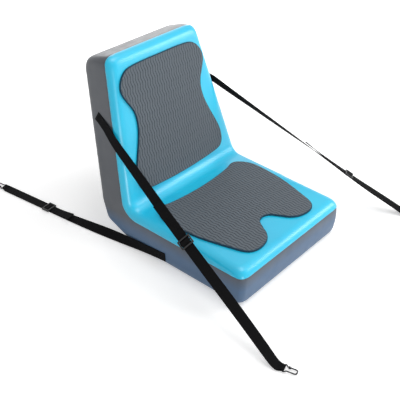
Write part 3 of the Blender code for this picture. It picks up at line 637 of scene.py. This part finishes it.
def pad(name, half, matrix, materials):
    """Grooved foam: a top that follows the grooves, a rounded dark rim and a flat underside."""
    outline = smooth_outline(half)
    floor_at = CLEARANCE + SKIN_THICK + CLEARANCE
    top = floor_at + PAD_THICK
    bm = bmesh.new()
    ring = pad_top(bm, moved_in(outline, PAD_ROUNDING), top)
    bands = [(inward * PAD_ROUNDING, top - down * PAD_ROUNDING) for inward, down in RIM_ARC]
    for inward, height in bands + [(0, floor_at)]:
        lower = [bm.verts.new((*p, height)) for p in moved_in(outline, inward)]
        for i in range(len(ring)):
            j = (i + 1) % len(ring)
            bm.faces.new((ring[i], ring[j], lower[j], lower[i])).material_index = 2
        ring = lower
    bm.faces.new(ring).material_index = 2
    bmesh.ops.recalc_face_normals(bm, faces=bm.faces[:])
    mesh = bmesh_to(bm, name)
    mesh.transform(matrix)
    made = add_piece(name + "_foam", mesh, materials, replaced=[name], smooth_deg=50)


def pads():
    materials = [grey_foam(), foam_groove_painted_shade(), foam_edge()]
    pad("seat_pad", SEAT_PAD_HALF, Matrix.Translation((0, 0, CHAMBER_THICK)), materials)
    axes = Matrix((Vector((1, 0, 0)), UP_THE_BACK, -REARWARD)).transposed().to_4x4()
    pad("back_pad", BACK_PAD_HALF, Matrix.Translation(CREASE) @ axes, materials)


# Straps


class Route:
    """A smooth line through a strap's points, measured along its length."""

    def __init__(self, points, wall_normal, slider_at):
        knots = [Vector(p) for p in points]
        side = math.copysign(1, knots[0].x)
        self.wall_normal = Vector((wall_normal.x * side, wall_normal.y, wall_normal.z))
        self.slider_at = slider_at
        knots = [2 * knots[0] - knots[1]] + knots + [2 * knots[-1] - knots[-2]]
        self.places = []
        for i in range(1, len(knots) - 2):
            steps = max(2, round((knots[i + 1] - knots[i]).to_3d().length / ROUTE_STEP))
            self.places += [catmull_rom(*knots[i - 1:i + 3], k / steps) for k in range(steps)]
        self.places.append(knots[-2])
        self.marks = [0.0]
        for a, b in zip(self.places, self.places[1:]):
            self.marks.append(self.marks[-1] + (b - a).to_3d().length)
        self.length = self.marks[-1]

    def at(self, distance):
        distance = min(max(distance, 0), self.length)
        i = 0
        while i < len(self.marks) - 2 and self.marks[i + 1] < distance:
            i += 1
        share = (distance - self.marks[i]) / (self.marks[i + 1] - self.marks[i])
        return self.places[i].lerp(self.places[i + 1], share)

    def axes(self, distance):
        """Along the strap, across it, and out of its face; the slider keeps the strap from twisting in it."""
        reach = 2 * ROUTE_STEP
        if abs(distance - self.slider_at) < SLIDER_HOLDS:
            distance = self.slider_at
        along = (self.at(distance + reach) - self.at(distance - reach)).to_3d().normalized()
        face = self.wall_normal.slerp(Vector((0, 0, 1)), min(1, max(0, self.at(distance).w)))
        face = (face - along * face.dot(along)).normalized()
        return along, face.cross(along), face


def hump(offset):
    """How high the strap rises over the slider's middle bar, at an offset from the bar."""
    share = (abs(offset) - HUMP_FLAT) / (HUMP_REACH - HUMP_FLAT)
    return SLIDER_HUMP * (1 + math.cos(math.pi * min(1, max(0, share)))) / 2


def web_width(to_end):
    """The strap's width, narrower where it is folded through the hook's eye."""
    share = min(1, max(0, to_end / WEB_NARROWS_OVER))
    return WEB_END_WIDTH + (WEB_WIDTH - WEB_END_WIDTH) * share * share * (3 - 2 * share)


def eye_rise(to_end):
    """How far the returning layer stands off near the eye, whose wire lies between the layers."""
    share = min(1, max(0, 1 - (to_end - EYE_RISE_FROM) / EYE_RISE_OVER))
    return (2 * FOLD_RADIUS - LAYER) * share * share * (3 - 2 * share)


def lower_stations(route):
    """Stations along the run: close together in the slider and at the eye, and farther apart elsewhere."""
    stations, d = [], 0.0
    while d < route.length - RUN_END_GAP:
        stations.append((d, hump(d - route.slider_at)))
        in_slider = abs(d - route.slider_at) < HUMP_REACH + FINE_MARGIN
        at_eye = route.length - d < WEB_NARROWS_OVER + FINE_MARGIN
        d += FINE_STATION_STEP if in_slider or at_eye else STATION_STEP
    return stations


def eye_fold(route):
    """Half a turn round the hook's eye."""
    angles = [math.pi * k / FOLD_STEPS for k in range(FOLD_STEPS + 1)]
    return [(route.length + FOLD_RADIUS * math.sin(a), FOLD_RADIUS * (1 - math.cos(a)), WEB_END_WIDTH)
            for a in angles]


def way_back(route, lower, tail):
    """The upper layer, from the eye back through the slider to the free end of the tail."""
    line = []
    for i in range(len(lower) - 1, 0, -1):
        d, h = lower[i]
        if d < route.slider_at - tail:
            break
        before, after = lower[i - 1], lower[min(i + 1, len(lower) - 1)]
        slope = Vector((after[0] - before[0], after[1] - before[1])).normalized()
        lifted = Vector((d, h)) + Vector((-slope.y, slope.x)) * LAYER
        free = min(1, max(0, (route.slider_at - TAIL_LIFT_FROM - d) / (tail - TAIL_LIFT_FROM)))
        height = lifted.y + eye_rise(route.length - d) + TAIL_LIFT * free * free
        line.append((lifted.x, height, web_width(route.length - d)))
    return line


def webbing_line(route, tail):
    """Stations (distance, height, width) out to the eye, round it, and back to the free end of the tail."""
    lower = lower_stations(route)
    out = [(d, h, web_width(route.length - d)) for d, h in lower]
    return out + eye_fold(route) + way_back(route, lower, tail)


def web_section(width):
    """Half-round edges, a flat middle and a faint rib along each edge."""
    half, r = width / 2, WEB_THICK / 2
    top = [(-half, 0), (-half + 0.3 * r, 0.75 * r), (-half + r, r), (-half + 3 * r, 0.86 * r), (0, 0.9 * r),
           (half - 3 * r, 0.86 * r), (half - r, r), (half - 0.3 * r, 0.75 * r), (half, 0)]
    return top + [(w, -t) for w, t in reversed(top[1:-1])]


def web_ring(bm, route, line, i):
    """The section's corners at one station, each with how far across the strap it lies."""
    d, h, width = line[i]
    a, b = line[max(i - 1, 0)], line[min(i + 1, len(line) - 1)]
    run, rise = Vector((b[0] - a[0], b[1] - a[1])).normalized()
    along, across, face = route.axes(min(d, route.length))
    place = route.at(d).to_3d() + along * max(0, d - route.length) + face * h
    normal = face * run - along * rise
    return [(bm.verts.new(place + across * w + normal * t), w) for w, t in web_section(width)]


def webbing(name, route, tail, material):
    """One loft along the strap's stations, with how far along and across as its map."""
    line = webbing_line(route, tail)
    walked = [0.0]
    for a, b in zip(line, line[1:]):
        walked.append(walked[-1] + math.hypot(b[0] - a[0], b[1] - a[1]))
    bm = bmesh.new()
    layer = bm.loops.layers.uv.new("strap")
    rings = [web_ring(bm, route, line, i) for i in range(len(line))]
    sides = len(rings[0])
    for i, (a, b) in enumerate(zip(rings, rings[1:])):
        for k in range(sides):
            corners = [(a[k], i), (a[(k + 1) % sides], i), (b[(k + 1) % sides], i + 1), (b[k], i + 1)]
            made = bm.faces.new([c[0][0] for c in corners])
            for loop, (corner, station) in zip(made.loops, corners):
                loop[layer].uv = (corner[1], walked[station])
    bm.faces.new([v for v, _ in rings[0]])
    bm.faces.new([v for v, _ in rings[-1]])
    bmesh.ops.recalc_face_normals(bm, faces=bm.faces[:])
    return add_piece("strap_" + name, bmesh_to(bm, "strap_" + name), [material],
                     replaced=["webbing_" + name], smooth_deg=50)


def straps():
    weave, plastic, wire, steel = webbing_weave(), moulded_black(), black_wire(), bright_steel()
    for name, (points, wall, slider_at, tail) in STRAPS.items():
        route = Route(points, wall, slider_at)
        made = webbing(name, route, tail, weave)
        dress("slider_" + name, plastic)
        dress("hook_" + name, wire)
        dress("gate_" + name, wire)
        dress("gate_pin_" + name, steel)


# Camera and light


def camera():
    data = bpy.data.cameras.new("camera")
    data.sensor_width = 36
    data.lens = CAMERA_LENS
    data.shift_x, data.shift_y = CAMERA_SHIFT
    made = bpy.data.objects.new("camera", data)
    bpy.context.scene.collection.objects.link(made)
    ahead = (CAMERA_TARGET - CAMERA_PLACE).normalized()
    right = ahead.cross(Vector((0, 0, 1))).normalized()
    up = right.cross(ahead)
    rolled_right = right * math.cos(CAMERA_ROLL) + up * math.sin(CAMERA_ROLL)
    rolled_up = up * math.cos(CAMERA_ROLL) - right * math.sin(CAMERA_ROLL)
    axes = Matrix((rolled_right, rolled_up, -ahead)).transposed().to_4x4()
    made.matrix_world = Matrix.Translation(CAMERA_PLACE) @ axes
    bpy.context.scene.camera = made


def area_light(name, place, target, size, power):
    data = bpy.data.lights.new(name, "AREA")
    data.shape = "DISK"
    data.size = size
    data.energy = power
    made = bpy.data.objects.new(name, data)
    bpy.context.scene.collection.objects.link(made)
    made.location = place
    made.rotation_euler = (Vector(target) - Vector(place)).to_track_quat("-Z", "Y").to_euler()


def world():
    """White where it is looked at, dimmer as a light."""
    made = bpy.data.worlds.new("studio")
    bpy.context.scene.world = made
    made.use_nodes = True
    tree = made.node_tree
    background = tree.nodes["Background"]
    background.inputs["Color"].default_value = (1, 1, 1, 1)
    strength = tree.nodes.new("ShaderNodeMapRange")
    strength.inputs["To Min"].default_value = WORLD_LIGHT
    strength.inputs["To Max"].default_value = 1.0
    tree.links.new(seen_directly(tree), strength.inputs["Value"])
    tree.links.new(strength.outputs["Result"], background.inputs["Strength"])


def floor():
    bm = bmesh.new()
    bmesh.ops.create_grid(bm, x_segments=1, y_segments=1, size=FLOOR_HALF)
    mesh = bmesh_to(bm, "floor")
    mesh.materials.append(floor_white())
    made = bpy.data.objects.new("floor", mesh)
    bpy.context.scene.collection.objects.link(made)
    made.location.z = -FLOOR_DROP


def studio():
    world()
    floor()
    for name, (place, target, size, power) in LAMPS.items():
        area_light(name, place, target, size, power)
    bpy.context.scene.view_settings.view_transform = "Standard"


def dress_valve():
    plastic, steel, rubber = moulded_black(), bright_steel(), black_rubber()
    for node in ("valve_body", "valve_poppet", "valve_cap"):
        dress(node, plastic)
    dress("valve_spring", steel)
    dress("valve_seal", rubber)


camera()
straps()
studio()
chamber_and_skin()
pads()
dress_valve()
